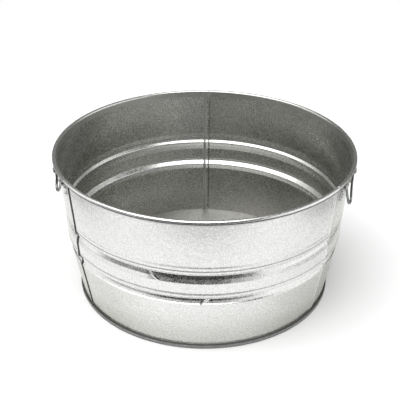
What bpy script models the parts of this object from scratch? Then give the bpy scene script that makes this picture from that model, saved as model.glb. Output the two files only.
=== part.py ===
"""Round galvanised steel tub used as an ice bucket, as an assembly of its sheet-metal pieces.

Metres, +Z up. The origin is on the tub's axis at the plane it stands on, and -Y is its front.
Three body sheets lap at three upright seams. Their top edge is curled round a rim wire, and
their foot is hemmed and held in the bottom pan's chime. Two wire drop handles hang in strap
ears, each held by two rivets.
"""

import math

import bmesh
import bpy
from mathutils import Matrix, Vector

# Driving dimensions
RIM_RADIUS = 0.280
HEIGHT = 0.280
CHIME_RADIUS = 0.2433
CHIME_HEIGHT = 0.0065
FLOOR_HEIGHT = 0.010
SHEET = 0.0008
GAP = 0.0003

# Rim
RIM_WIRE_RADIUS = 0.0028
BEAD_RADIUS = 0.0040
CURL_END = math.radians(-130)
CURL_STEPS = 10
BEAD_CENTRE = Vector((RIM_RADIUS - BEAD_RADIUS, HEIGHT - BEAD_RADIUS))
CURL_RADIUS = BEAD_RADIUS - SHEET
WALL_TOP_RADIUS = BEAD_CENTRE.x - CURL_RADIUS

# Foot: the sheet's hem stands in the channel of the pan
HEM_BEND = 0.0006
HEM_HEIGHT = 0.0054
HEM_STEPS = 4
HEM_RADIUS = CHIME_RADIUS - SHEET - GAP - SHEET
FOOT_RADIUS = HEM_RADIUS - 2 * HEM_BEND
PAN_LEG_RADIUS = FOOT_RADIUS - SHEET - GAP
PAN_BEND = 0.0008
HEM_CENTRE_HEIGHT = SHEET + GAP + HEM_BEND + SHEET

# Outer face of the wall between rim and foot, as radius and height: two swaged shoulders,
# each a small bead over a step in and a hollow that runs back out to the next band
UPPER_BAND_FOOT = Vector((0.2641, 0.1824))
SHOULDER_WALL = (
    UPPER_BAND_FOOT,
    Vector((0.2648, 0.1780)),
    Vector((0.2644, 0.1712)),
    Vector((0.2588, 0.1652)),
    Vector((0.2590, 0.1622)),
    Vector((0.2614, 0.1534)),
    Vector((0.2617, 0.1476)),
    Vector((0.2607, 0.1292)),
    Vector((0.2610, 0.1236)),
    Vector((0.2535, 0.1155)),
    Vector((0.2542, 0.1108)),
    Vector((0.2546, 0.1066)),
    Vector((0.2564, 0.1034)),
    Vector((0.2409, 0.014)),
)
FOOT_TOP = 0.010

# Seams: where each sheet starts, its number of flats, and its end, which laps the next one
SHEETS = {
    "wall_front": (209, 325, 19),
    "wall_rear_right": (325, 448, 20),
    "wall_rear_left": (88, 209, 20),
}
BUTT_GAP = math.radians(0.05)
JOGGLE = math.radians(0.5)
LAP = math.radians(1.7)
LAP_RISE = SHEET + GAP
LAP_FOOT = 0.012
LAP_TOP = 0.270

# Ears and rivets
EAR_SHEET = 0.0012
EAR_WIDTH = 0.010
EAR_LENGTH = 0.0285
EYE_RADIUS = 0.0033
EYE_END = math.radians(-110)
EYE_STEPS = 10
EYE_OFFSET = GAP + EAR_SHEET + EYE_RADIUS
EAR_TOP = 0.267
RIVETS = {"upper": 0.018, "lower": 0.006}
SHANK_RADIUS = 0.0020
HOLE_RADIUS = 0.0023
DRILL_REACH = 0.004
HEAD_RADIUS = 0.0036
HEAD_HEIGHT = 0.0020
HEAD_EDGE = 0.0005
DOME_STEPS = 3
TAIL_RADIUS = 0.0030
TAIL_HEIGHT = 0.0012
TAIL_TOP_RADIUS = 0.0018
FLAT_SAG = 0.0004
RIVET_SIDES = 10

# Handles: azimuth, distance between the ears, distance between the legs at the axis, and drop
HANDLE_WIRE_RADIUS = 0.00225
HANDLE_END = 0.0018
HANDLE_BEND = 0.004
HANDLE_BOW = 0.004
HANDLES = {
    "left": (201.5, 0.051, 0.034, 0.027),
    "right": (338.5, 0.065, 0.051, 0.048),
}
GRIP_BEND = 0.012
ARC_STEPS = 5
GRIP_STEPS = 8
LEG_STEPS = 3
WIRE_RESOLUTION = 2

MERGE_DISTANCE = 0.00001
SHARP_ANGLE = math.radians(35)

GALVANISED = ("galvanised_sheet", (0.70, 0.71, 0.71), 0.38)
PAN_ZINC = ("galvanised_bottom", (0.62, 0.64, 0.64), 0.42)
WIRE_ZINC = ("galvanised_wire", (0.42, 0.44, 0.44), 0.36)
EAR_ZINC = ("galvanised_strap", (0.58, 0.60, 0.60), 0.40)
RIVET_ZINC = ("zinc_rivet", (0.50, 0.52, 0.52), 0.34)


def clear_scene():
    for item in list(bpy.data.objects):
        bpy.data.objects.remove(item, do_unlink=True)


def collection(name):
    group = bpy.data.collections.new(name)
    bpy.context.scene.collection.children.link(group)
    return group


def material(name, colour, roughness):
    paint = bpy.data.materials.get(name)
    if paint:
        return paint
    paint = bpy.data.materials.new(name)
    paint.use_nodes = True
    shader = paint.node_tree.nodes["Principled BSDF"]
    shader.inputs["Base Color"].default_value = (*colour, 1.0)
    shader.inputs["Roughness"].default_value = roughness
    shader.inputs["Metallic"].default_value = 1.0
    return paint


def add_object(name, data, finish, group):
    item = bpy.data.objects.new(name, data)
    item.data.materials.append(material(*finish))
    group.objects.link(item)
    return item


def mesh_from(name, bm):
    mesh = bpy.data.meshes.new(name)
    bm.to_mesh(mesh)
    bm.free()
    mesh.shade_smooth()
    mesh.set_sharp_from_angle(angle=SHARP_ANGLE)
    return mesh


def solidify(item, thickness, side=1):
    """Thicken a surface on the side that its normals point to, or with side -1 on the other."""
    shell = item.modifiers.new("Sheet", "SOLIDIFY")
    shell.thickness = thickness
    shell.offset = side
    shell.use_even_offset = True


def arc(centre, radius, start, end, steps):
    """Points of an arc in the plane of radius and height."""
    angles = (start + (end - start) * i / steps for i in range(steps + 1))
    return [centre + radius * Vector((math.cos(a), math.sin(a))) for a in angles]


def radial(radius, azimuth, height):
    """A point from its radius and azimuth about the tub's axis, and its height."""
    return Vector((radius * math.cos(azimuth), radius * math.sin(azimuth), height))


def wall_slope():
    """Lean of the upper band from the vertical."""
    run = WALL_TOP_RADIUS - UPPER_BAND_FOOT.x
    return math.atan2(run, BEAD_CENTRE.y - UPPER_BAND_FOOT.y)


def wall_radius(height):
    """Radius of the upper band's outer face."""
    return UPPER_BAND_FOOT.x + (height - UPPER_BAND_FOOT.y) * math.tan(wall_slope())


def wall_profile():
    """Outer face of a body sheet, from the curl's free end down to the hem's free edge."""
    curl = arc(BEAD_CENTRE, CURL_RADIUS, CURL_END, math.pi, CURL_STEPS)
    lap_top = Vector((wall_radius(LAP_TOP), LAP_TOP))
    foot = [Vector((FOOT_RADIUS, FOOT_TOP))]
    hem_centre = Vector((FOOT_RADIUS + HEM_BEND, HEM_CENTRE_HEIGHT))
    hem = arc(hem_centre, HEM_BEND, -math.pi, 0, HEM_STEPS)
    hem_edge = [Vector((HEM_RADIUS, HEM_HEIGHT))]
    return [*curl, lap_top, *SHOULDER_WALL, *foot, *hem, *hem_edge]


def pan_profile():
    """Upper face of the bottom pan, from its centre to the chime's free edge."""
    inner = Vector((PAN_LEG_RADIUS - 2 * PAN_BEND, FLOOR_HEIGHT - 2 * PAN_BEND))
    shoulder = arc(inner, 2 * PAN_BEND, math.pi / 2, 0, 2)
    channel_in = Vector((PAN_LEG_RADIUS + PAN_BEND, SHEET + PAN_BEND))
    channel_out = Vector((HEM_RADIUS + SHEET + GAP - PAN_BEND, SHEET + PAN_BEND))
    turn_in = arc(channel_in, PAN_BEND, -math.pi, -math.pi / 2, 2)
    turn_out = arc(channel_out, PAN_BEND, -math.pi / 2, 0, 2)
    edge = Vector((channel_out.x + PAN_BEND, CHIME_HEIGHT))
    return [Vector((0, FLOOR_HEIGHT)), *shoulder, *turn_in, *turn_out, edge]


def profile_edges(bm, profile, azimuth, closed=False):
    verts = [bm.verts.new(radial(p.x, azimuth, p.y)) for p in profile]
    pairs = list(zip(verts, verts[1:]))
    if closed:
        pairs.append((verts[-1], verts[0]))
    return verts, [bm.edges.new(pair) for pair in pairs]


def spin(bm, geometry, angle, steps):
    """Sweep a profile about the tub's axis and return its last copy."""
    turned = bmesh.ops.spin(
        bm, geom=geometry, cent=(0, 0, 0), axis=(0, 0, 1), angle=angle, steps=steps
    )
    return turned["geom_last"]


def turned_ring(profile, closed=False):
    """A full turn on the same flats as the body sheets."""
    bm = bmesh.new()
    start = SHEETS["wall_front"][0]
    verts, edges = profile_edges(bm, profile, math.radians(start), closed)
    geometry = [*verts, *edges]
    for name in ("wall_front", "wall_rear_right", "wall_rear_left"):
        first, last, flats = SHEETS[name]
        geometry = spin(bm, geometry, math.radians(last - first), flats)
    bmesh.ops.remove_doubles(bm, verts=bm.verts, dist=MERGE_DISTANCE)
    return bm


def is_lapped(vert):
    """Whether a point lies on the stretch of the wall, between hem and curl, that laps."""
    return LAP_FOOT < vert.co.z < LAP_TOP + GAP


def body_sheet(name, group):
    """A third of the wall. Its end is joggled outwards and laps over the next sheet's start."""
    start, end, flats = SHEETS[name]
    first = math.radians(start) + BUTT_GAP
    flat = math.radians(end - start) / flats
    bm = bmesh.new()
    verts, edges = profile_edges(bm, wall_profile(), first)
    geometry = spin(bm, [*verts, *edges], flat - BUTT_GAP, 1)
    geometry = spin(bm, geometry, flat * (flats - 2), flats - 2)
    geometry = spin(bm, geometry, flat - JOGGLE, 1)
    geometry = spin(bm, geometry, JOGGLE - BUTT_GAP, 1)
    raised = [v for v in geometry if isinstance(v, bmesh.types.BMVert)]
    geometry = spin(bm, geometry, LAP + BUTT_GAP, 1)
    lap_edge = [v for v in geometry if isinstance(v, bmesh.types.BMVert)]
    for vert in filter(is_lapped, (*raised, *lap_edge)):
        vert.co += LAP_RISE * Vector((vert.co.x, vert.co.y, 0)).normalized()
    spare = [v for v in lap_edge if not is_lapped(v)]
    bmesh.ops.delete(bm, geom=spare, context="VERTS")
    bmesh.ops.recalc_face_normals(bm, faces=bm.faces)
    item = add_object(name, mesh_from(name, bm), GALVANISED, group)
    solidify(item, SHEET)
    return item


def rim_wire(group):
    ring = arc(BEAD_CENTRE, RIM_WIRE_RADIUS, 0, 2 * math.pi, 8)[:-1]
    bm = turned_ring(ring, closed=True)
    bmesh.ops.recalc_face_normals(bm, faces=bm.faces)
    return add_object("rim_wire", mesh_from("rim_wire", bm), WIRE_ZINC, group)


def bottom_pan(group):
    bm = turned_ring(pan_profile())
    bmesh.ops.recalc_face_normals(bm, faces=bm.faces)
    item = add_object("bottom_pan", mesh_from("bottom_pan", bm), PAN_ZINC, group)
    solidify(item, SHEET)
    return item


def ear_frame(azimuth):
    """Frame on the wall: X along the seam of wall and ear, Y up the wall, Z out of it.

    Its origin is level with the ear's eye.
    """
    lean = wall_slope()
    out = Vector((math.cos(azimuth), math.sin(azimuth), 0))
    up = Vector((0, 0, 1))
    normal = math.cos(lean) * out - math.sin(lean) * up
    along = math.cos(lean) * up + math.sin(lean) * out
    frame = Matrix((along.cross(normal), along, normal)).transposed().to_4x4()
    frame.translation = radial(wall_radius(EAR_TOP), azimuth, EAR_TOP)
    return frame


def ear_azimuths(side):
    azimuth, spread, _, _ = HANDLES[side]
    half = math.asin(spread / 2 / axis_radius())
    middle = math.radians(azimuth)
    toward_front = 1 if side == "left" else -1
    return {"front": middle + toward_front * half, "rear": middle - toward_front * half}


def axis_radius():
    return wall_radius(EAR_TOP) + EYE_OFFSET * math.cos(wall_slope())


def axis_height():
    return EAR_TOP - EYE_OFFSET * math.sin(wall_slope())


def drill(name, frame, group):
    """A rivet hole's cutter, which runs through wall and ear along a frame's Z."""
    bm = bmesh.new()
    bmesh.ops.create_cone(
        bm,
        cap_ends=True,
        segments=RIVET_SIDES,
        radius1=HOLE_RADIUS,
        radius2=HOLE_RADIUS,
        depth=2 * DRILL_REACH,
    )
    item = bpy.data.objects.new(name, mesh_from(name, bm))
    item.matrix_world = frame
    item.hide_render = True
    item.display_type = "WIRE"
    group.objects.link(item)
    return item


def cut(item, cutter):
    hole = item.modifiers.new("Hole", "BOOLEAN")
    hole.operation = "DIFFERENCE"
    hole.object = cutter


def ear(name, frame, group):
    """A strap whose top is rolled outwards into the eye that holds the handle's end."""
    centre = Vector((EYE_OFFSET, 0))
    face = GAP + EAR_SHEET
    eye = arc(centre, EYE_RADIUS, EYE_END, math.pi, EYE_STEPS)
    section = [*eye, Vector((face, -EAR_LENGTH))]
    bm = bmesh.new()
    verts = [bm.verts.new((-EAR_WIDTH / 2, p.y, p.x)) for p in section]
    edges = [bm.edges.new(pair) for pair in zip(verts, verts[1:])]
    swept = bmesh.ops.extrude_edge_only(bm, edges=edges)
    moved = [v for v in swept["geom"] if isinstance(v, bmesh.types.BMVert)]
    bmesh.ops.translate(bm, vec=(EAR_WIDTH, 0, 0), verts=moved)
    bmesh.ops.recalc_face_normals(bm, faces=bm.faces)
    item = add_object(name, mesh_from(name, bm), EAR_ZINC, group)
    item.matrix_world = frame
    solidify(item, EAR_SHEET, side=-1)
    return item


def rivet(name, frame, group):
    """A domed head on the strap, a shank through both sheets and an upset tail inside."""
    seat = GAP + EAR_SHEET + GAP
    tail = -SHEET - FLAT_SAG - GAP
    angles = (math.pi / 2 * i / DOME_STEPS for i in range(DOME_STEPS + 1))
    rise = HEAD_HEIGHT - HEAD_EDGE
    dome = [
        Vector((HEAD_RADIUS * math.sin(a), seat + HEAD_EDGE + rise * math.cos(a))) for a in angles
    ]
    outline = [
        *dome,
        Vector((HEAD_RADIUS, seat)),
        Vector((SHANK_RADIUS, seat)),
        Vector((SHANK_RADIUS, tail)),
        Vector((TAIL_RADIUS, tail)),
        Vector((TAIL_RADIUS, tail - TAIL_HEIGHT / 2)),
        Vector((TAIL_TOP_RADIUS, tail - TAIL_HEIGHT)),
        Vector((0, tail - TAIL_HEIGHT)),
    ]
    mesh = bpy.data.meshes.new(name)
    points = [(p.x, 0, p.y) for p in outline]
    mesh.from_pydata(points, [(i, i + 1) for i in range(len(points) - 1)], [])
    item = add_object(name, mesh, RIVET_ZINC, group)
    item.matrix_world = frame
    turn = item.modifiers.new("Turned", "SCREW")
    turn.steps = RIVET_SIDES
    turn.render_steps = RIVET_SIDES
    turn.use_merge_vertices = True
    turn.merge_threshold = MERGE_DISTANCE
    return item


def handle_outline(legs, drop, ends):
    """Half of the wire's path as (across, down): from the loop's lowest point to the wire's end."""
    grip = Vector((0, -drop + GRIP_BEND))
    corner = Vector((legs / 2, 0))
    reach = corner - grip
    touch = math.atan2(reach.y, reach.x) - math.acos(GRIP_BEND / reach.length)
    path = arc(grip, GRIP_BEND, -math.pi / 2, touch, GRIP_STEPS)
    leg = (corner - path[-1]).normalized()
    turn = math.atan2(leg.y, leg.x)
    trim = HANDLE_BEND * math.tan(turn / 2)
    leg_end = corner - trim * leg
    leg_start = path[-1]
    path += [leg_start.lerp(leg_end, i / LEG_STEPS) for i in range(1, LEG_STEPS)]
    bend_centre = leg_end + HANDLE_BEND * Vector((leg.y, -leg.x))
    path += arc(bend_centre, HANDLE_BEND, turn + math.pi / 2, math.pi / 2, ARC_STEPS)
    return [*path, Vector((ends / 2, 0))]


def handle(side, group):
    """A wire loop whose ends turn outwards into the eyes, hanging from an empty on its axis."""
    azimuth, spread, legs, drop = HANDLES[side]
    middle = math.radians(azimuth)
    ends = spread + EAR_WIDTH + 2 * HANDLE_END
    half = handle_outline(legs, drop, ends)
    path = [Vector((-p.x, p.y)) for p in reversed(half[1:])] + half
    curve = bpy.data.curves.new(f"handle_{side}", "CURVE")
    curve.dimensions = "3D"
    curve.bevel_depth = HANDLE_WIRE_RADIUS
    curve.bevel_resolution = WIRE_RESOLUTION
    curve.use_fill_caps = True
    spline = curve.splines.new("POLY")
    spline.points.add(len(path) - 1)
    for point, place in zip(spline.points, path):
        bow = HANDLE_BOW * (place.y / drop) ** 2
        point.co = (bow, place.x, place.y, 1)
    axis = bpy.data.objects.new(f"handle_{side}_axis", None)
    chord = math.sqrt(axis_radius() ** 2 - (spread / 2) ** 2)
    axis.location = radial(chord, middle, axis_height())
    axis.rotation_euler = (0, 0, middle)
    group.objects.link(axis)
    item = add_object(f"handle_{side}", curve, WIRE_ZINC, group)
    item.parent = axis
    return item


def build():
    clear_scene()
    tub = collection("ice_tub")
    cutters = collection("cutters")
    sheets = {name: body_sheet(name, tub) for name in SHEETS}
    rim_wire(tub)
    bottom_pan(tub)
    holders = {"left": sheets["wall_rear_left"], "right": sheets["wall_rear_right"]}
    for side, holder in holders.items():
        handle(side, tub)
        for end, azimuth in ear_azimuths(side).items():
            frame = ear_frame(azimuth)
            strap = ear(f"ear_{side}_{end}", frame, tub)
            for place, rise in RIVETS.items():
                seat = frame @ Matrix.Translation((0, rise - EAR_LENGTH, 0))
                rivet(f"rivet_{side}_{end}_{place}", seat, tub)
                cutter = drill(f"drill_{side}_{end}_{place}", seat, cutters)
                cut(strap, cutter)
                cut(holder, cutter)


build()
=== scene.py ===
"""Looks of a round galvanised steel tub: rolled sheets, wired rim, strap ears and wire handles.

Metres, +Z up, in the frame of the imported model. Azimuths run about the tub's axis from +X,
and -Y is the front.
"""

import math

import bmesh
import bpy
from mathutils import Matrix, Vector, noise


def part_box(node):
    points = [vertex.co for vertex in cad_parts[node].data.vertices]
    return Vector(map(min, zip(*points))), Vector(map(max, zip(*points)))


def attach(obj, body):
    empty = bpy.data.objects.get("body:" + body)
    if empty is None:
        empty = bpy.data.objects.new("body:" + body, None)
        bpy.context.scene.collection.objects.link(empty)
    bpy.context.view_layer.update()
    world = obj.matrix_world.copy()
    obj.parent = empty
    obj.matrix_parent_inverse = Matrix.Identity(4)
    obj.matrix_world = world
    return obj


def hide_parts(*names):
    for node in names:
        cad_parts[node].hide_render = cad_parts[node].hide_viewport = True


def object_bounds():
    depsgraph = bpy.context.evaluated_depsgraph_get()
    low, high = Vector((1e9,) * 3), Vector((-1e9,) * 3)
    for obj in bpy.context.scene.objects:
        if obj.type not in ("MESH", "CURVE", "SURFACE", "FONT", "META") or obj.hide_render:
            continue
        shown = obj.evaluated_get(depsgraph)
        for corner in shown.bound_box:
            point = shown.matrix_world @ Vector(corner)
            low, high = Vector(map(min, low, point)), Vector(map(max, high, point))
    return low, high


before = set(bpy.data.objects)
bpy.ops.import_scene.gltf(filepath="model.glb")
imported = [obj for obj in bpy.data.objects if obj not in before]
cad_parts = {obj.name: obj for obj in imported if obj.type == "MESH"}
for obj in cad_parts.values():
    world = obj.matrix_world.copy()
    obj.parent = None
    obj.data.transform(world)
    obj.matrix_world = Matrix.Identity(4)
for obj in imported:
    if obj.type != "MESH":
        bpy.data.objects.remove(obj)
CAD_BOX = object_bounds()
MM = 0.001

# Body, from the frame
TUB = "tub"
WIRE_LOW, WIRE_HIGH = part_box("rim_wire")
PAN_LOW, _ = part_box("bottom_pan")
RIM_RADIUS = -CAD_BOX[0].x
RIM_WIRE_RADIUS = (WIRE_HIGH.z - WIRE_LOW.z) / 2
BEAD_HEIGHT = (WIRE_HIGH.z + WIRE_LOW.z) / 2
CHIME_RADIUS = -PAN_LOW.x

# Sheet metal
SHEET = 0.8 * MM
GAP = 0.3 * MM
BEAD_RADIUS = 4.0 * MM
CURL_RADIUS = BEAD_RADIUS - SHEET
CURL_END = math.radians(-130)
CURL_STEPS = 30
BEAD_CENTRE = Vector((RIM_RADIUS - BEAD_RADIUS, BEAD_HEIGHT))
WALL_TOP_RADIUS = BEAD_CENTRE.x - CURL_RADIUS

# Foot seam: the pan's floor, leg and channel, with the sheet's hem standing in the channel. The
# floor's mesh has its first ring at PAN_FIRST_RING and then one at every PAN_STEP
FLOOR_HEIGHT = 10 * MM
CHIME_HEIGHT = 6.5 * MM
HEM_BEND = 0.6 * MM
HEM_HEIGHT = 5.4 * MM
HEM_RADIUS = CHIME_RADIUS - SHEET - GAP - SHEET
HEM_CENTRE_HEIGHT = SHEET + GAP + HEM_BEND + SHEET
HEM_STEPS = 8
FOOT_RADIUS = HEM_RADIUS - 2 * HEM_BEND
FOOT_TOP = 10 * MM
PAN_LEG_RADIUS = FOOT_RADIUS - SHEET - GAP
PAN_BEND = 0.8 * MM
PAN_SHOULDER_STEPS = 8
PAN_BEND_STEPS = 6
PAN_FIRST_RING = 20 * MM
PAN_STEP = 12 * MM

# Outer face of the wall from the upper band's foot down: radius, height and corner radius.
# Two swaged shoulders, each a small bead over a step in and a hollow that runs out again
UPPER_BAND_FOOT = Vector((264.1, 182.4)) * MM
SHOULDERS = [
    (264.3, 185.0, 2.0),
    (264.5, 181.4, 1.5),
    (263.5, 176.6, 1.2),
    (263.7, 173.8, 0.9),
    (263.0, 169.9, 1.2),
    (258.1, 165.4, 2.2),
    (260.6, 158.4, 7.0),
    (262.0, 149.6, 6.0),
    (260.4, 129.4, 3.0),
    (260.9, 125.8, 1.6),
    (260.8, 122.4, 1.8),
    (252.9, 115.8, 2.0),
    (254.2, 111.2, 3.0),
    (255.0, 106.4, 0.4),
    (256.9, 104.6, 0.8),
    (240.9, 14.0, 0.0),
]

# Rows of the wall's mesh, which are closest at the rim, the foot and the shoulders
FILLET_STEP = math.radians(6)
FILLET_SHARE = 0.49
STRAIGHT_CORNER = math.radians(89.5)
PROFILE_STEP = 3 * MM
EDGE_STEP = 0.6 * MM
NEAR_RIM_ROWS = 4
FINE_ROW_STEP = 1.0 * MM
FINE_ROWS = (0.102, 0.178)

# Upright seams, in degrees: first and last azimuth of each sheet, whose end is joggled out and
# laps the next sheet between two heights
SHEETS = {"wall_front": (209, 325), "wall_rear_right": (325, 448), "wall_rear_left": (88, 209)}
FRONT = 270
BUTT_GAP = 0.05
JOGGLE = 0.5
LAP = 1.7
LAP_EDGE = 0.8
LAP_RISE = SHEET + GAP
LAP_FOOT = 12 * MM
LAP_TOP = 270 * MM
LAP_RISE_END = 274 * MM
LEAST_SLOPE = 0.5

# Columns of the wall's mesh, in degrees
COLUMN_STEP = 1.5
UNDER_LAP_STEP = 0.5
LAP_STEP = 0.4
FINE_STEP = 0.125

# Slow waves of the thin sheet: depth, fineness on a circle of radius 1, the scale of heights to
# it, and the heights between which they come in above the foot and die away over the shoulders
DENT = 0.35 * MM
DENT_FINENESS = 2.2
DENT_HEIGHT_SCALE = 4
DENT_FOOT = (0.012, 0.05)
DENT_TOP = (0.19, 0.235)

# Small folds that the swages have pinched in the front sheet's hollows: azimuth, height, slant as
# rise over run, and crest. They fade in away from the sheet's first edge
PUCKERS = [(270.5, 0.1108, 0.72, 1.2 * MM), (251.4, 0.1572, -0.90, 0.9 * MM)]
PUCKER_HALF_HEIGHT = 7.0 * MM
PUCKER_WIDTH = 1.2 * MM
PUCKER_REACH = 3.2
PUCKER_STEP = 0.2
PUCKER_FADE = (4, 10)

# The upper hollow is shallower at its left end: heights, rise, and the azimuths where that ends
SHALLOW = (0.1500, 0.1595, 0.1655)
SHALLOW_RISE = 0.8 * MM
SHALLOW_END = (248.0, 251.2)

# Painted shade, from 0 to 1: the lap edge's painted shadow on each sheet beside the seam at its start,
# which reaches some degrees further where it crosses a step, by the steps' heights, and painted shade on
# the edge of its own lap
SEAM_SHADE = {"wall_front": 1.0, "wall_rear_right": 0.0, "wall_rear_left": 0.5}
SEAM_CORE = 0.6
SEAM_SHADOW = 1.0
STEP_LINES = {0.1713: 1.6, 0.1237: 3.0}
STEP_LINE_HEIGHT = (0.0022, 0.0034)
STEP_LINE_END = 3.0
# Painted shade on the free edge of each sheet's lap
LAP_EDGE_SHADE = {"wall_front": 0.0, "wall_rear_right": 0.4, "wall_rear_left": 0.9}

# Painted shade in the creases along the beads, by their heights, under the rim and on its curl, by the
# degrees above level about the rim wire, and at the foot and on the chime
CREASES = {0.1755: 0.45, 0.1286: 0.40}
CREASE_WIDTH = (0.0004, 0.0014)
# Painted shade on the wall under the rim
RIM_SHADOW = (0.2662, 0.2674)
UNDER_RIM_SHADE = 0.1425
# Painted shade and painted reflection on the curl's underside
CURL_SHADOW = (-12, 6)
CURL_SHADE = 0.95
# Painted shadow line at the foot of the wall
FOOT_SHADOW = (0.0080, 0.0094)
FOOT_SHADE = 0.75
# Painted shade on the chime
CHIME_SHADE = 0.30

# Painted highlight along the laps, and painted shade that dims the zinc toward the foot, below the
# shoulders and on the rear sheets
LAP_HIGHLIGHT = {"wall_front": 1.0, "wall_rear_right": 0.3, "wall_rear_left": 0.0}
DIM_TOP = 0.095
FOOT_DIM = 0.50
FOOT_DIM_SIDES = 0.32
DIM_ASIDE = (18, 42)
LIP_DIM = 0.40
LIP_EDGE = (0.1034, 0.1048)
SHEET_DIM = {"wall_front": 0.0, "wall_rear_right": 0.55, "wall_rear_left": 0.28}

# Ears: straps with a rolled eye
EAR_SHEET = 1.2 * MM
EAR_WIDTH = 10 * MM
EAR_LENGTH = 28.5 * MM
EAR_CORNER = 4.0 * MM
EAR_EDGE = 0.25 * MM
EAR_EDGE_ANGLE = math.radians(50)
EAR_TOP = 267 * MM
EAR_ROW = EAR_LENGTH / 12
EAR_STRAIGHT_ROWS = 9
EAR_CORNER_STEPS = 8
EAR_HALF_COLUMNS = 4
EYE_RADIUS = 3.3 * MM
EYE_END = math.radians(-110)
EYE_STEPS = 28
EYE_OFFSET = GAP + EAR_SHEET + EYE_RADIUS

# Rivets, by their height above the ear's foot
RIVETS = {"upper": 18 * MM, "lower": 6 * MM}
RIVET_SIDES = 28
SHANK_RADIUS = 2.0 * MM
HEAD_RADIUS = 3.6 * MM
HEAD_HEIGHT = 2.0 * MM
HEAD_EDGE = 0.5 * MM
HEAD_STEPS = 10
TAIL_RADIUS = 3.0 * MM
TAIL_HEIGHT = 1.2 * MM
TAIL_EDGE = 0.8 * MM
TAIL_STEPS = 6
RIVET_BEVEL = 0.2 * MM
FLAT_SAG = 0.4 * MM

# Handles: azimuth, distance between the ears, distance between the legs at the axis, and drop
HANDLES = {
    "left": (201.5, 51 * MM, 34 * MM, 27 * MM),
    "right": (338.5, 65 * MM, 51 * MM, 48 * MM),
}
HANDLE_WIRE_RADIUS = 2.25 * MM
HANDLE_END = 1.8 * MM
HANDLE_BEND = 4 * MM
HANDLE_BEND_STEPS = 12
HANDLE_BOW = 4 * MM
LEG_STEPS = 10
GRIP_BEND = 12 * MM
GRIP_STEPS = 24
WIRE_SIDES = 20

# The cut ends of a handle's wire: distance in from the end and radius, as shares of the radius
WIRE_CUT = ((0.0, 0.72), (0.12, 0.9), (0.35, 1.0))

# Edges sharper than this stay sharp, and points closer than this are merged
SHARP_ANGLE = math.radians(40)
MERGE = 0.01 * MM

# Stage: the table's extent
TABLE_X = (-0.55, 0.52)
TABLE_Y = (-0.565, 1.80)
TABLE_DROP = 0.2 * MM
TABLE_COLOUR = (0.92, 0.92, 0.92, 1.0)

# Lights, as directions seen from the tub. An edge is where a light fades in, along X, Y or Z
KEY = Vector((-0.25, -0.25, 0.93)).normalized()
KEY_ANGLES = (44, 32)
KEY_STRENGTH = 3.75
SIDE_EDGE = (0.55, 0.72)
SIDE_BACK = (0.30, 0.55)
SIDE_FOOT = (-0.38, -0.22)
LEFT_STRENGTH = 1.6
LEFT_FRONT = 0.22
LEFT_FRONT_EDGE = (-0.25, -0.05)
RIGHT_STRENGTH = 1.6
BACK_EDGE = (0.15, 0.45)
BACK_FOOT = (-0.05, 0.15)
BACK_STRENGTH = 0.30
FRONT_EDGE = (-0.3, 0.0)
FRONT_RIGHT = (0.22, 0.46)
HORIZON_EDGE = (-0.12, 0.0)
ROOM_FLOOR_EDGE = (-0.50, -0.30)
ROOM_FLOOR_STRENGTH = 0.68
ROOM_STRENGTH = 0.04

# Camera
CAMERA_PLACE = (0, -1.427, 0.9546)
CAMERA_TILT = math.radians(61.04)
CAMERA_TURN = 0.0049
CAMERA_ROLL = 0.0081
FOCAL_LENGTH = 76.6
SENSOR_WIDTH = 36.0
FAR_CLIP = 50.0


def polar(radius, azimuth, height):
    """A point from its radius and its azimuth in degrees about the tub's axis, and its height."""
    angle = math.radians(azimuth)
    return Vector((radius * math.cos(angle), radius * math.sin(angle), height))


def smoothstep(low, high, value):
    """0 up to low, 1 from high on, and a smooth rise between."""
    t = min(1.0, max(0.0, (value - low) / (high - low)))
    return t * t * (3 - 2 * t)


def arc(centre, radius, start, end, steps):
    """Points along an arc, both ends among them."""
    angles = (start + (end - start) * i / steps for i in range(steps + 1))
    return [centre + radius * Vector((math.cos(a), math.sin(a))) for a in angles]


def fillet(before, corner, after, radius):
    """Points that round a corner of an outline, using less than half of each side."""
    back = (before - corner).normalized()
    ahead = (after - corner).normalized()
    half = back.angle(ahead) / 2
    if radius == 0 or half > STRAIGHT_CORNER:
        return [corner]
    room = min((before - corner).length, (after - corner).length) * FILLET_SHARE
    reach = min(radius / math.tan(half), room)
    radius = reach * math.tan(half)
    centre = corner + (back + ahead).normalized() * radius / math.sin(half)
    first = corner + back * reach - centre
    last = corner + ahead * reach - centre
    turn = first.angle_signed(last)
    steps = max(2, math.ceil(abs(turn) / FILLET_STEP))
    start = math.atan2(first.y, first.x)
    return arc(centre, radius, start, start - turn, steps)


def rounded(outline):
    """An outline of (across, up, corner radius) with its corners rounded."""
    points = [Vector((x, y)) for x, y, _ in outline]
    path = [points[0]]
    for before, corner, after, given in zip(points, points[1:], points[2:], outline[1:]):
        path += fillet(before, corner, after, given[2])
    return [*path, points[-1]]


def filled_in(path, step, low=0.0, high=0.0):
    """The path with long stretches divided, and finely divided between two heights."""
    dense = [path[0]]
    for a, b in zip(path, path[1:]):
        is_fine = low < (a.y + b.y) / 2 < high
        count = max(1, math.ceil((b - a).length / (FINE_ROW_STEP if is_fine else step)))
        dense += [a.lerp(b, i / count) for i in range(1, count + 1)]
    return dense


def piece_from(name, bm, finish, body, slot, *replaced):
    """Make a mesh object of the tub, which stands for CAD nodes and rides on their body."""
    mesh = bpy.data.meshes.new(name)
    bm.to_mesh(mesh)
    bm.free()
    mesh.shade_smooth()
    mesh.set_sharp_from_angle(angle=SHARP_ANGLE)
    item = bpy.data.objects.new(name, mesh)
    item.data.materials.append(finish)
    bpy.context.scene.collection.objects.link(item)
    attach(item, body)
    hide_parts(*replaced)
    return item


def solidify(item, thickness):
    """Give an open surface its thickness, on the side that its faces look to."""
    shell = item.modifiers.new("Sheet", "SOLIDIFY")
    shell.thickness = thickness
    shell.offset = 1
    shell.use_even_offset = True


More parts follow.
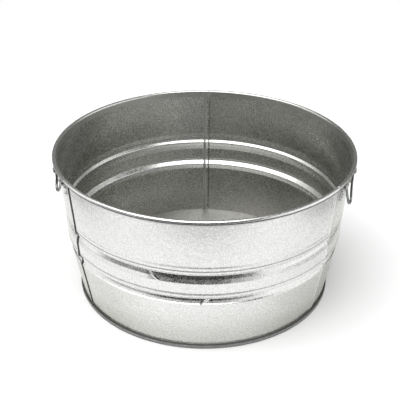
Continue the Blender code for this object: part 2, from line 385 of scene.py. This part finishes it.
def grid_faces(bm, columns):
    """Skin neighbouring columns of points. None stands for a point that is left out."""
    for left, right in zip(columns, columns[1:]):
        for i in range(len(left) - 1):
            corners = [left[i], left[i + 1], right[i + 1], right[i]]
            if None not in corners:
                bm.faces.new(corners)


def ring_faces(bm, rings):
    """Skin neighbouring rings of points. A ring may be one point, repeated."""
    for a, b in zip(rings, rings[1:]):
        for i in range(len(a)):
            j = (i + 1) % len(a)
            bm.faces.new(list(dict.fromkeys((a[i], a[j], b[j], b[i]))))


# Materials

# Colour of painted shade
PAINTED_SHADE_COLOUR = (0.035, 0.040, 0.040, 1.0)
# Colour of the painted shade that dims the zinc
PAINTED_DIM_COLOUR = (0.44, 0.435, 0.40, 1.0)
# Colour of the painted highlight
PAINTED_HIGHLIGHT_COLOUR = (0.94, 0.94, 0.93, 1.0)

# Noise: scales per metre, what each makes of the zinc, and the stretch of noise that does it
WARP_SCALE = 90.0
GRAIN_SCALE = 900.0
CLOUD_SCALE = 14.0
SPECK = (0.86, 1.06)
SPECK_NOISE = (0.3, 0.7)
HAZE = (0.0, 0.35)
HAZE_NOISE = (0.45, 0.75)
# How the grain breaks up the painted shade, and how metallic the zinc stays under it
PAINTED_SHADE_COVER = (0.75, 1.0)
PAINTED_SHADE_NOISE = (0.3, 0.6)
PAINTED_SHADE_METAL = 0.4
RELIEF = 0.03 * MM
RELIEF_STRENGTH = 0.6


def node(tree, kind, inputs=None, **settings):
    """Make a shader node. An input is a value or the socket that feeds it."""
    made = tree.nodes.new(kind)
    for key, value in settings.items():
        setattr(made, key, value)
    for key, value in (inputs or {}).items():
        if isinstance(value, bpy.types.NodeSocket):
            tree.links.new(value, made.inputs[key])
        else:
            made.inputs[key].default_value = value
    return made


def ranged(tree, value, low, high, from_low=0.0, from_high=1.0):
    """Go smoothly from low to high while value goes from from_low to from_high."""
    mapped = node(
        tree,
        "ShaderNodeMapRange",
        {"Value": value, "From Min": from_low, "From Max": from_high, "To Min": low, "To Max": high},
        interpolation_type="SMOOTHSTEP",
    )
    return mapped.outputs["Result"]


def mixed(tree, factor, a, b, blend="MIX"):
    """Mix two colours by a factor."""
    mixer = node(tree, "ShaderNodeMix", data_type="RGBA", blend_type=blend)
    for socket, value in zip((mixer.inputs[0], mixer.inputs[6], mixer.inputs[7]), (factor, a, b)):
        if isinstance(value, bpy.types.NodeSocket):
            tree.links.new(value, socket)
        else:
            socket.default_value = value
    return mixer.outputs[2]


def zinc(name, light, dark, roughness, spangle, tilt):
    """Hot-dipped zinc: crystals that each lean their own way, a fine grain, clouds, painted shade,
    painted dimming shade and a painted highlight.

    light and dark are the crystals' colours, roughness its lowest and highest values, spangle
    the crystals' size and tilt how far they lean.
    """
    material = bpy.data.materials.new(name)
    material.use_nodes = True
    tree = material.node_tree
    shader = tree.nodes["Principled BSDF"]
    place = node(tree, "ShaderNodeTexCoord").outputs["Object"]
    warp = node(tree, "ShaderNodeTexNoise", {"Vector": place, "Scale": WARP_SCALE, "Detail": 2.0})
    bent = node(
        tree,
        "ShaderNodeVectorMath",
        {0: warp.outputs["Color"], 1: (spangle, spangle, spangle), 2: place},
        operation="MULTIPLY_ADD",
    ).outputs["Vector"]
    crystal = node(tree, "ShaderNodeTexVoronoi", {"Vector": bent, "Scale": 1 / spangle})
    facet = crystal.outputs["Color"]
    shade = node(tree, "ShaderNodeSeparateColor", {"Color": facet})
    grain = node(tree, "ShaderNodeTexNoise", {"Vector": place, "Scale": GRAIN_SCALE, "Detail": 3.0})
    cloud = node(tree, "ShaderNodeTexNoise", {"Vector": place, "Scale": CLOUD_SCALE, "Detail": 4.0})
    # Painted shade, painted highlight and painted dimming shade, from the mesh's attributes
    painted_shade_mask = node(tree, "ShaderNodeAttribute", attribute_name="painted_shade").outputs["Fac"]
    painted_highlight = node(tree, "ShaderNodeAttribute", attribute_name="painted_highlight").outputs["Fac"]
    painted_dim_mask = node(tree, "ShaderNodeAttribute", attribute_name="painted_dim").outputs["Fac"]

    colour = mixed(tree, shade.outputs["Red"], dark, light)
    speck = ranged(tree, grain.outputs["Fac"], *SPECK, *SPECK_NOISE)
    speck = node(tree, "ShaderNodeCombineColor", {"Red": speck, "Green": speck, "Blue": speck})
    colour = mixed(tree, 1.0, colour, speck.outputs["Color"], "MULTIPLY")
    haze = ranged(tree, cloud.outputs["Fac"], *HAZE, *HAZE_NOISE)
    colour = mixed(tree, haze, colour, dark)
    # Painted shade that dims the zinc mixed in
    colour = mixed(tree, painted_dim_mask, colour, PAINTED_DIM_COLOUR)
    # Painted highlight mixed in
    colour = mixed(tree, painted_highlight, colour, PAINTED_HIGHLIGHT_COLOUR)
    # Painted shade, broken up by the grain, which also makes the zinc rougher and less metallic
    cover = ranged(tree, grain.outputs["Fac"], *PAINTED_SHADE_COVER, *PAINTED_SHADE_NOISE)
    broken = node(tree, "ShaderNodeMath", {0: painted_shade_mask, 1: cover}, operation="MULTIPLY").outputs["Value"]
    colour = mixed(tree, broken, colour, PAINTED_SHADE_COLOUR)
    tree.links.new(colour, shader.inputs["Base Color"])

    low, high = roughness
    sheen = ranged(tree, shade.outputs["Green"], low, high)
    sheen = node(tree, "ShaderNodeMath", {0: sheen, 1: broken}, operation="ADD", use_clamp=True)
    tree.links.new(sheen.outputs["Value"], shader.inputs["Roughness"])
    metal = ranged(tree, broken, 1.0, PAINTED_SHADE_METAL)
    tree.links.new(metal, shader.inputs["Metallic"])

    lean = node(
        tree,
        "ShaderNodeVectorMath",
        {0: facet, 1: (tilt, tilt, tilt), 2: (-tilt / 2, -tilt / 2, -tilt / 2)},
        operation="MULTIPLY_ADD",
    ).outputs["Vector"]
    surface = node(tree, "ShaderNodeNewGeometry").outputs["Normal"]
    leaned = node(tree, "ShaderNodeVectorMath", {0: surface, 1: lean}, operation="ADD")
    leaned = node(tree, "ShaderNodeVectorMath", {0: leaned.outputs["Vector"]}, operation="NORMALIZE")
    relief = node(
        tree,
        "ShaderNodeBump",
        {
            "Height": grain.outputs["Fac"],
            "Distance": RELIEF,
            "Strength": RELIEF_STRENGTH,
            "Normal": leaned.outputs["Vector"],
        },
    )
    tree.links.new(relief.outputs["Normal"], shader.inputs["Normal"])
    return material


SHEET_ZINC = zinc(
    "zinc_sheet", (0.78, 0.783, 0.77, 1), (0.69, 0.693, 0.68, 1), (0.20, 0.32), 2.2 * MM, 0.04
)
# Darker than the sheets' zinc: painted shade for the chime down by the floor
PAN_ZINC = zinc(
    "zinc_pan", (0.46, 0.465, 0.455, 1), (0.36, 0.365, 0.355, 1), (0.38, 0.55), 4 * MM, 0.08
)
WIRE_ZINC = zinc(
    "zinc_wire", (0.30, 0.31, 0.305, 1), (0.22, 0.23, 0.225, 1), (0.20, 0.32), 2.5 * MM, 0.08
)
EAR_ZINC = zinc(
    "zinc_strap", (0.78, 0.785, 0.775, 1), (0.66, 0.665, 0.655, 1), (0.22, 0.34), 3 * MM, 0.06
)
RIVET_ZINC = zinc(
    "zinc_rivet", (0.74, 0.745, 0.74, 1), (0.60, 0.605, 0.60, 1), (0.20, 0.32), 2 * MM, 0.08
)


# Body sheets


def wall_slope():
    """Lean of the upper band from the vertical."""
    run = WALL_TOP_RADIUS - UPPER_BAND_FOOT.x
    return math.atan2(run, BEAD_CENTRE.y - UPPER_BAND_FOOT.y)


def wall_radius(height):
    """Radius of the upper band's outer face."""
    return UPPER_BAND_FOOT.x + (height - UPPER_BAND_FOOT.y) * math.tan(wall_slope())


def wall_profile():
    """Outer face of a body sheet, from the curl's free end down to the hem's free edge."""
    curl = arc(BEAD_CENTRE, CURL_RADIUS, CURL_END, math.pi, CURL_STEPS)
    top = (WALL_TOP_RADIUS, BEAD_CENTRE.y, 0)
    bands = [(r * MM, z * MM, bend * MM) for r, z, bend in SHOULDERS]
    wall = filled_in(rounded([top, *bands]), PROFILE_STEP, *FINE_ROWS)
    near_rim = filled_in([wall[0], wall[NEAR_RIM_ROWS]], EDGE_STEP)
    foot = filled_in([wall[-1], Vector((FOOT_RADIUS, FOOT_TOP))], EDGE_STEP)[1:]
    hem_centre = Vector((FOOT_RADIUS + HEM_BEND, HEM_CENTRE_HEIGHT))
    hem = arc(hem_centre, HEM_BEND, -math.pi, 0, HEM_STEPS)
    hem_edge = [Vector((HEM_RADIUS, HEM_HEIGHT))]
    return [*curl, *near_rim[1:], *wall[NEAR_RIM_ROWS + 1 :], *foot, *hem, *hem_edge]


def dent(azimuth, height):
    """How far the thin sheet waves in or out, which dies away at rim, ears and foot."""
    place = polar(1.0, azimuth, height * DENT_HEIGHT_SCALE)
    free = smoothstep(*DENT_FOOT, height) * (1 - smoothstep(*DENT_TOP, height))
    return DENT * free * noise.noise(place * DENT_FINENESS)


def steepness(profile):
    """At each point of a profile, how much further a radial step is than one along its normal."""
    spans = [(b - a).normalized() for a, b in zip(profile, profile[1:])]
    pairs = zip([spans[0], *spans], [*spans, spans[-1]])
    return [1 / max(LEAST_SLOPE, min(abs(before.y), abs(after.y))) for before, after in pairs]


def lap_lift(azimuth, end, height):
    """Rise of a sheet's end, which clears the sheet under it."""
    along = smoothstep(end - JOGGLE, end - BUTT_GAP, azimuth)
    up = smoothstep(FOOT_TOP, LAP_FOOT, height) * (1 - smoothstep(LAP_TOP, LAP_RISE_END, height))
    return LAP_RISE * along * up


def step_extra(height):
    """How many degrees further the painted shadow line beside a seam reaches, where it crosses a step.
    """
    step = min(STEP_LINES, key=lambda line: abs(height - line))
    return STEP_LINES[step] * (1 - smoothstep(*STEP_LINE_HEIGHT, abs(height - step)))


def crease_shade(height):
    """Painted shade in the creases along the beads."""
    crease = min(CREASES, key=lambda line: abs(height - line))
    return CREASES[crease] * (1 - smoothstep(*CREASE_WIDTH, abs(height - crease)))


def pucker(azimuth, height):
    """Rise of the small slanting folds in the hollows, and of the upper hollow's left end."""
    rise = 0.0
    for middle, level, slant, crest in PUCKERS:
        up = (height - level) / PUCKER_HALF_HEIGHT
        across = math.radians(azimuth - middle) * FOOT_RADIUS - (height - level) / slant
        across *= abs(slant) / math.hypot(1, slant)
        if abs(up) < 1:
            rise += crest * (1 - up**4) * math.exp(-((across / PUCKER_WIDTH) ** 2))
    low, middle, high = SHALLOW
    filled = smoothstep(low, middle, height) * (1 - smoothstep(middle, high, height))
    return rise + SHALLOW_RISE * filled * (1 - smoothstep(*SHALLOW_END, azimuth))


def painted_dim_at(azimuth, height):
    """Painted shade that dims the zinc toward the foot, most of all at the sides."""
    low = 1 - smoothstep(FOOT_TOP, DIM_TOP, height)
    aside = smoothstep(*DIM_ASIDE, abs(azimuth - FRONT))
    below_lip = LIP_DIM * aside * (1 - smoothstep(*LIP_EDGE, height))
    return max(low * (FOOT_DIM + FOOT_DIM_SIDES * aside), below_lip)


def lap_edge_at(azimuth, end):
    """1 along the free edge of a sheet's lap and 0 away from it."""
    return smoothstep(end + LAP - LAP_EDGE, end + LAP - LAP_EDGE / 2, azimuth)


def curl_shade(point):
    """Painted shade on the underside of the curl, by the angle about the rim wire."""
    outward, upward = point - BEAD_CENTRE
    turn = math.degrees(math.atan2(upward, outward))
    return CURL_SHADE * (1 - smoothstep(*CURL_SHADOW, turn))


def wall_shade(name, azimuth, height):
    """Painted shade on a sheet below its curl: beside its seams, in the creases, under the rim, at the
    foot.
    """
    start, end = SHEETS[name]
    past = azimuth - (start + LAP)
    beside = 0.0
    if past > -FINE_STEP / 2:
        extra = step_extra(height) if name == "wall_front" else 0.0
        beside = 1 - smoothstep(SEAM_CORE, SEAM_SHADOW, past - extra)
    return max(
        SEAM_SHADE[name] * beside,
        LAP_EDGE_SHADE[name] * lap_edge_at(azimuth, end),
        crease_shade(height),
        FOOT_SHADE * (1 - smoothstep(*FOOT_SHADOW, height)),
        UNDER_RIM_SHADE * smoothstep(*RIM_SHADOW, height),
    )


def split(a, b, step):
    """Values from a up to just before b, in even steps of about the given size."""
    count = max(1, round((b - a) / step))
    return [a + (b - a) * i / count for i in range(count)]


def sheet_azimuths(start, end):
    """Azimuths of a sheet's columns, closest at its seams and folds."""
    shadow_end = start + LAP + SEAM_SHADOW + STEP_LINE_END
    joggle = end - JOGGLE
    last = end - BUTT_GAP
    lap_end = end + LAP
    plain = []
    reached = shadow_end
    for middle in sorted(azimuth for azimuth, _, _, _ in PUCKERS if shadow_end < azimuth < joggle):
        plain += split(reached, middle - PUCKER_REACH, COLUMN_STEP)
        plain += split(middle - PUCKER_REACH, middle + PUCKER_REACH, PUCKER_STEP)
        reached = middle + PUCKER_REACH
    plain += split(reached, joggle, COLUMN_STEP)
    return [
        *split(start + BUTT_GAP, start + LAP, UNDER_LAP_STEP),
        *split(start + LAP, shadow_end, FINE_STEP),
        *plain,
        *split(joggle, last, FINE_STEP / 2),
        *split(last, lap_end - LAP_EDGE, LAP_STEP),
        *split(lap_end - LAP_EDGE, lap_end, LAP_EDGE / 2),
        lap_end,
    ]


def body_sheet(name):
    """One body sheet, from the curl round the rim wire to the hem, with its lap."""
    start, end = SHEETS[name]
    profile = wall_profile()
    steep = steepness(profile)
    bm = bmesh.new()
    painted_shade = bm.verts.layers.float.new("painted_shade")
    painted_highlight = bm.verts.layers.float.new("painted_highlight")
    painted_dim = bm.verts.layers.float.new("painted_dim")
    columns = []
    for azimuth in sheet_azimuths(start, end):
        column = []
        for row, point in enumerate(profile):
            height = point.y
            in_curl = row < CURL_STEPS
            if azimuth > end and (in_curl or not LAP_FOOT <= height <= LAP_TOP):
                column.append(None)
                continue
            radius = point.x
            if not in_curl:
                radius += dent(azimuth, height) + lap_lift(azimuth, end, height) * steep[row]
            if not in_curl and name == "wall_front":
                fade_start, fade_end = PUCKER_FADE
                fade = smoothstep(start + fade_start, start + fade_end, azimuth)
                radius += pucker(azimuth, height) * fade
            vert = bm.verts.new(polar(radius, azimuth, height))
            # Painted shade on the curl or on the wall below it
            vert[painted_shade] = curl_shade(point) if in_curl else wall_shade(name, azimuth, height)
            # Painted highlight on the lap's edge
            vert[painted_highlight] = LAP_HIGHLIGHT[name] * lap_edge_at(azimuth, end)
            # Painted shade that dims the zinc
            vert[painted_dim] = min(1.0, SHEET_DIM[name] + painted_dim_at(azimuth, height))
            column.append(vert)
        columns.append(column)
    grid_faces(bm, columns[::-1])
    item = piece_from(f"{name}_sheet", bm, SHEET_ZINC, TUB, "galvanised_sheet", name)
    solidify(item, SHEET)
    return item


def turned(profile, closed=False):
    """A full turn of a profile about the tub's axis."""
    bm = bmesh.new()
    count = round(360 / COLUMN_STEP)
    rings = []
    for point in profile:
        if point.x == 0:
            rings.append([bm.verts.new((0, 0, point.y))] * count)
        else:
            rings.append([bm.verts.new(polar(point.x, i * COLUMN_STEP, point.y)) for i in range(count)])
    if closed:
        rings.append(rings[0])
    ring_faces(bm, rings)
    return bm


def rim_wire():
    """The wire that the top edge is curled round."""
    ring = arc(BEAD_CENTRE, RIM_WIRE_RADIUS, 0, 2 * math.pi, WIRE_SIDES)[:-1]
    bm = turned(ring, closed=True)
    bmesh.ops.recalc_face_normals(bm, faces=bm.faces)
    return piece_from("rim_wire_ring", bm, WIRE_ZINC, TUB, "galvanised_wire", "rim_wire")


def pan_profile():
    """Upper face of the bottom pan, from its centre to the chime's free edge."""
    inner = Vector((PAN_LEG_RADIUS - 2 * PAN_BEND, FLOOR_HEIGHT - 2 * PAN_BEND))
    shoulder = arc(inner, 2 * PAN_BEND, math.pi / 2, 0, PAN_SHOULDER_STEPS)
    channel_in = Vector((PAN_LEG_RADIUS + PAN_BEND, SHEET + PAN_BEND))
    channel_out = Vector((HEM_RADIUS + SHEET + GAP - PAN_BEND, SHEET + PAN_BEND))
    turn_in = arc(channel_in, PAN_BEND, -math.pi, -math.pi / 2, PAN_BEND_STEPS)
    turn_out = arc(channel_out, PAN_BEND, -math.pi / 2, 0, PAN_BEND_STEPS)
    edge = Vector((channel_out.x + PAN_BEND, CHIME_HEIGHT))
    floor = filled_in([Vector((PAN_FIRST_RING, FLOOR_HEIGHT)), shoulder[0]], PAN_STEP)
    return [Vector((0, FLOOR_HEIGHT)), *floor[:-1], *shoulder, *turn_in, *turn_out, edge]


def bottom_pan():
    """The floor, with the channel and chime at its edge."""
    bm = turned(pan_profile())
    bmesh.ops.recalc_face_normals(bm, faces=bm.faces)
    painted_shade = bm.verts.layers.float.new("painted_shade")
    # Painted shade on the chime, outside the pan's leg
    for vert in bm.verts:
        if vert.co.xy.length > PAN_LEG_RADIUS:
            vert[painted_shade] = CHIME_SHADE
    item = piece_from("bottom_pan_shell", bm, PAN_ZINC, TUB, "galvanised_bottom", "bottom_pan")
    solidify(item, SHEET)
    return item


# Ears, rivets and handles


def ear_frame(azimuth):
    """Frame on the wall, level with the ear's eye, at an azimuth in radians.

    X is along the wall, Y up it and Z out of it.
    """
    lean = wall_slope()
    out = Vector((math.cos(azimuth), math.sin(azimuth), 0))
    up = Vector((0, 0, 1))
    normal = math.cos(lean) * out - math.sin(lean) * up
    along = math.cos(lean) * up + math.sin(lean) * out
    place = Matrix((along.cross(normal), along, normal)).transposed().to_4x4()
    place.translation = wall_radius(EAR_TOP) * out + EAR_TOP * up
    return place


def axis_radius():
    """Distance of an ear's eye from the tub's axis."""
    return wall_radius(EAR_TOP) + EYE_OFFSET * math.cos(wall_slope())


def axis_height():
    """Height of the handles' hinge axes."""
    return EAR_TOP - EYE_OFFSET * math.sin(wall_slope())


def ear_azimuths(side):
    """Azimuths in radians of a handle's two ears."""
    azimuth, spread, _, _ = HANDLES[side]
    half = math.asin(spread / 2 / axis_radius())
    middle = math.radians(azimuth)
    toward_front = 1 if side == "left" else -1
    return {"front": middle + toward_front * half, "rear": middle - toward_front * half}


def ear(side, end, place):
    """A strap with a rounded foot, rolled outwards at its top into the handle's eye."""
    centre = Vector((EYE_OFFSET, 0))
    face = GAP + EAR_SHEET
    foot = -EAR_LENGTH
    eye = arc(centre, EYE_RADIUS, EYE_END, math.pi, EYE_STEPS)
    straight = [Vector((face, -EAR_ROW * i)) for i in range(1, EAR_STRAIGHT_ROWS + 1)]
    turns = (math.pi / 2 * i / EAR_CORNER_STEPS for i in range(EAR_CORNER_STEPS + 1))
    rounding = [Vector((face, foot + EAR_CORNER * (1 - math.sin(turn)))) for turn in turns]
    section = [*eye, *straight, *rounding]
    bm = bmesh.new()
    columns = []
    for p in section:
        into = max(0.0, EAR_CORNER - (p.y - foot))
        half = EAR_WIDTH / 2 - EAR_CORNER + math.sqrt(max(0.0, EAR_CORNER**2 - into**2))
        across = [half * i / EAR_HALF_COLUMNS for i in range(-EAR_HALF_COLUMNS, EAR_HALF_COLUMNS + 1)]
        columns.append([bm.verts.new(place @ Vector((x, p.y, p.x))) for x in across])
    grid_faces(bm, columns)
    bmesh.ops.remove_doubles(bm, verts=bm.verts, dist=MERGE)
    name = f"ear_{side}_{end}"
    item = piece_from(f"{name}_strap", bm, EAR_ZINC, TUB, "galvanised_strap", name)
    solidify(item, EAR_SHEET)
    edge = item.modifiers.new("Edge", "BEVEL")
    edge.width = EAR_EDGE
    edge.segments = 2
    edge.limit_method = "ANGLE"
    edge.angle_limit = EAR_EDGE_ANGLE
    return item


def rivet(side, end, level, place):
    """A domed head on the strap, a shank through both sheets and an upset tail inside."""
    seat = GAP + EAR_SHEET
    tail = -SHEET - FLAT_SAG - GAP
    rise = HEAD_HEIGHT - HEAD_EDGE
    dome = [
        Vector((HEAD_RADIUS * math.sin(a), seat + HEAD_EDGE + rise * math.cos(a)))
        for a in (math.pi / 2 * i / HEAD_STEPS for i in range(HEAD_STEPS + 1))
    ]
    tail_corner = Vector((TAIL_RADIUS - TAIL_EDGE, tail - TAIL_HEIGHT + TAIL_EDGE))
    outline = [
        *dome,
        Vector((HEAD_RADIUS - RIVET_BEVEL, seat)),
        Vector((SHANK_RADIUS, seat)),
        Vector((SHANK_RADIUS, tail)),
        Vector((TAIL_RADIUS - RIVET_BEVEL, tail)),
        *arc(tail_corner, TAIL_EDGE, 0, -math.pi / 2, TAIL_STEPS),
        Vector((0, tail - TAIL_HEIGHT)),
    ]
    bm = bmesh.new()
    rings = []
    for p in outline:
        if p.x < MERGE:
            rings.append([bm.verts.new(place @ Vector((0, 0, p.y)))] * RIVET_SIDES)
            continue
        turns = (2 * math.pi * i / RIVET_SIDES for i in range(RIVET_SIDES))
        rings.append(
            [bm.verts.new(place @ Vector((p.x * math.cos(t), p.x * math.sin(t), p.y))) for t in turns]
        )
    ring_faces(bm, rings)
    bmesh.ops.recalc_face_normals(bm, faces=bm.faces)
    name = f"rivet_{side}_{end}_{level}"
    return piece_from(f"{name}_head", bm, RIVET_ZINC, TUB, "zinc_rivet", name)


def handle_outline(legs, drop, ends):
    """Half of the wire's path as (across, down): from the loop's lowest point to the wire's end."""
    grip = Vector((0, -drop + GRIP_BEND))
    corner = Vector((legs / 2, 0))
    reach = corner - grip
    touch = math.atan2(reach.y, reach.x) - math.acos(GRIP_BEND / reach.length)
    path = arc(grip, GRIP_BEND, -math.pi / 2, touch, GRIP_STEPS)
    leg = (corner - path[-1]).normalized()
    turn = math.atan2(leg.y, leg.x)
    trim = HANDLE_BEND * math.tan(turn / 2)
    leg_end = corner - trim * leg
    leg_start = path[-1]
    path += [leg_start.lerp(leg_end, i / LEG_STEPS) for i in range(1, LEG_STEPS)]
    bend_centre = leg_end + HANDLE_BEND * Vector((leg.y, -leg.x))
    path += arc(bend_centre, HANDLE_BEND, turn + math.pi / 2, math.pi / 2, HANDLE_BEND_STEPS)
    return [*path, Vector((ends / 2, 0))]


def tube(bm, path, radii):
    """A round bar along a path, closed at both ends."""
    rings = []
    side = Vector((1, 0, 0))
    for i, point in enumerate(path):
        ahead = path[min(i + 1, len(path) - 1)] - path[max(i - 1, 0)]
        ahead.normalize()
        side = (side - side.dot(ahead) * ahead).normalized()
        across = ahead.cross(side)
        turns = (2 * math.pi * k / WIRE_SIDES for k in range(WIRE_SIDES))
        rings.append(
            [bm.verts.new(point + radii[i] * (math.cos(t) * side + math.sin(t) * across)) for t in turns]
        )
    ring_faces(bm, rings)
    for ring in (rings[0], rings[-1]):
        bm.faces.new(ring)
    bmesh.ops.recalc_face_normals(bm, faces=bm.faces)


def handle(side):
    """A wire loop whose ends turn outwards into the eyes."""
    azimuth, spread, legs, drop = HANDLES[side]
    ends = spread + EAR_WIDTH + 2 * HANDLE_END
    half = handle_outline(legs, drop, ends)
    path = [Vector((-p.x, p.y)) for p in reversed(half[1:])] + half
    chord = math.sqrt(axis_radius() ** 2 - (spread / 2) ** 2)
    place = Matrix.Translation(polar(chord, azimuth, axis_height()))
    place = place @ Matrix.Rotation(math.radians(azimuth), 4, "Z")
    line = [place @ Vector((HANDLE_BOW * (p.y / drop) ** 2, p.x, p.y)) for p in path]
    start = (line[1] - line[0]).normalized()
    stop = (line[-1] - line[-2]).normalized()
    line = [
        *[line[0] + start * share * HANDLE_WIRE_RADIUS for share, _ in WIRE_CUT],
        *line[1:-1],
        *[line[-1] - stop * share * HANDLE_WIRE_RADIUS for share, _ in reversed(WIRE_CUT)],
    ]
    cut = [HANDLE_WIRE_RADIUS * size for _, size in WIRE_CUT]
    radii = [*cut, *[HANDLE_WIRE_RADIUS] * (len(line) - 2 * len(cut)), *reversed(cut)]
    bm = bmesh.new()
    tube(bm, line, radii)
    body = f"{side}_drop_handle"
    return piece_from(f"handle_{side}_wire", bm, WIRE_ZINC, body, "galvanised_wire", f"handle_{side}")


# Stage


def floor():
    """A pale matt table."""
    bm = bmesh.new()
    bmesh.ops.create_grid(bm, x_segments=2, y_segments=2, size=0.5)
    width, depth = (high - low for low, high in (TABLE_X, TABLE_Y))
    bmesh.ops.scale(bm, vec=(width, depth, 1), verts=bm.verts)
    mesh = bpy.data.meshes.new("floor")
    bm.to_mesh(mesh)
    bm.free()
    item = bpy.data.objects.new("floor", mesh)
    bpy.context.scene.collection.objects.link(item)
    paint = bpy.data.materials.new("floor_paint")
    paint.use_nodes = True
    shader = paint.node_tree.nodes["Principled BSDF"]
    shader.inputs["Base Color"].default_value = TABLE_COLOUR
    shader.inputs["Roughness"].default_value = 0.9
    shader.inputs["Specular IOR Level"].default_value = 0.0
    item.data.materials.append(paint)
    item.location = (sum(TABLE_X) / 2, sum(TABLE_Y) / 2, -TABLE_DROP)


def studio():
    """A softbox overhead, one on each side and a weak one behind, in a dark room.

    The room's floor glows below the horizon, but toward the front only straight below. The
    camera sees a white backdrop instead.
    """
    world = bpy.data.worlds.new("studio")
    world.use_nodes = True
    bpy.context.scene.world = world
    tree = world.node_tree
    tree.nodes.clear()

    def math_node(operation, a, b=0.0):
        return node(tree, "ShaderNodeMath", {0: a, 1: b}, operation=operation).outputs["Value"]

    direction = node(tree, "ShaderNodeTexCoord").outputs["Generated"]
    part = node(tree, "ShaderNodeSeparateXYZ", {"Vector": direction})
    toward = node(tree, "ShaderNodeVectorMath", {0: direction, 1: KEY}, operation="DOT_PRODUCT")
    edge, core = (math.cos(math.radians(a)) for a in KEY_ANGLES)
    overhead = ranged(tree, toward.outputs["Value"], 0.0, KEY_STRENGTH, edge, core)
    behind = ranged(tree, part.outputs["Y"], 1.0, 0.0, *SIDE_BACK)
    right = ranged(tree, part.outputs["X"], 0.0, RIGHT_STRENGTH, *SIDE_EDGE)
    left_x = math_node("MULTIPLY", part.outputs["X"], -1.0)
    left = ranged(tree, left_x, 0.0, LEFT_STRENGTH, *SIDE_EDGE)
    left_front = ranged(tree, part.outputs["Y"], LEFT_FRONT, 1.0, *LEFT_FRONT_EDGE)
    left = math_node("MULTIPLY", left, left_front)
    above = ranged(tree, part.outputs["Z"], 0.0, 1.0, *SIDE_FOOT)
    sides = math_node("MULTIPLY", math_node("ADD", left, right), math_node("MULTIPLY", behind, above))
    between_sides = math_node(
        "MULTIPLY",
        ranged(tree, left_x, 1.0, 0.0, *SIDE_EDGE),
        ranged(tree, part.outputs["X"], 1.0, 0.0, *FRONT_RIGHT),
    )
    front = math_node(
        "MULTIPLY", between_sides, ranged(tree, part.outputs["Y"], 1.0, 0.0, *FRONT_EDGE)
    )
    horizon = math_node("SUBTRACT", 1.0, front)
    near = math_node("MULTIPLY", ranged(tree, part.outputs["Z"], 1.0, 0.0, *HORIZON_EDGE), horizon)
    steep = ranged(tree, part.outputs["Z"], 1.0, 0.0, *ROOM_FLOOR_EDGE)
    below = math_node("MULTIPLY", math_node("MAXIMUM", near, steep), ROOM_FLOOR_STRENGTH)
    back = math_node(
        "MULTIPLY",
        ranged(tree, part.outputs["Y"], 0.0, BACK_STRENGTH, *BACK_EDGE),
        ranged(tree, part.outputs["Z"], 0.0, 1.0, *BACK_FOOT),
    )
    boxes = math_node("MAXIMUM", overhead, math_node("MAXIMUM", sides, back))
    total = math_node("ADD", math_node("MAXIMUM", boxes, below), ROOM_STRENGTH)
    light = node(tree, "ShaderNodeBackground", {"Strength": total})
    backdrop = node(tree, "ShaderNodeBackground", {"Color": (1, 1, 1, 1), "Strength": 1.0})
    seen = node(tree, "ShaderNodeLightPath").outputs["Is Camera Ray"]
    choice = node(tree, "ShaderNodeMixShader", {0: seen})
    tree.links.new(light.outputs[0], choice.inputs[1])
    tree.links.new(backdrop.outputs[0], choice.inputs[2])
    output = node(tree, "ShaderNodeOutputWorld")
    tree.links.new(choice.outputs[0], output.inputs["Surface"])
    bpy.context.scene.view_settings.view_transform = "Standard"


def camera():
    """In front of the tub and above it, looking down at its rim."""
    lens = bpy.data.cameras.new("camera")
    lens.sensor_width = SENSOR_WIDTH
    lens.lens = FOCAL_LENGTH
    lens.clip_end = FAR_CLIP
    item = bpy.data.objects.new("camera", lens)
    bpy.context.scene.collection.objects.link(item)
    tilt = Matrix.Rotation(CAMERA_TILT, 4, "X")
    turn = Matrix.Rotation(CAMERA_TURN, 4, "Y")
    roll = Matrix.Rotation(CAMERA_ROLL, 4, "Z")
    item.matrix_world = Matrix.Translation(CAMERA_PLACE) @ tilt @ turn @ roll
    bpy.context.scene.camera = item


for sheet_name in SHEETS:
    body_sheet(sheet_name)
rim_wire()
bottom_pan()
for handle_side in HANDLES:
    handle(handle_side)
    for ear_end, ear_azimuth in ear_azimuths(handle_side).items():
        on_wall = ear_frame(ear_azimuth)
        ear(handle_side, ear_end, on_wall)
        for rivet_level, above_foot in RIVETS.items():
            on_strap = on_wall @ Matrix.Translation((0, above_foot - EAR_LENGTH, 0))
            rivet(handle_side, ear_end, rivet_level, on_strap)
floor()
studio()
camera()
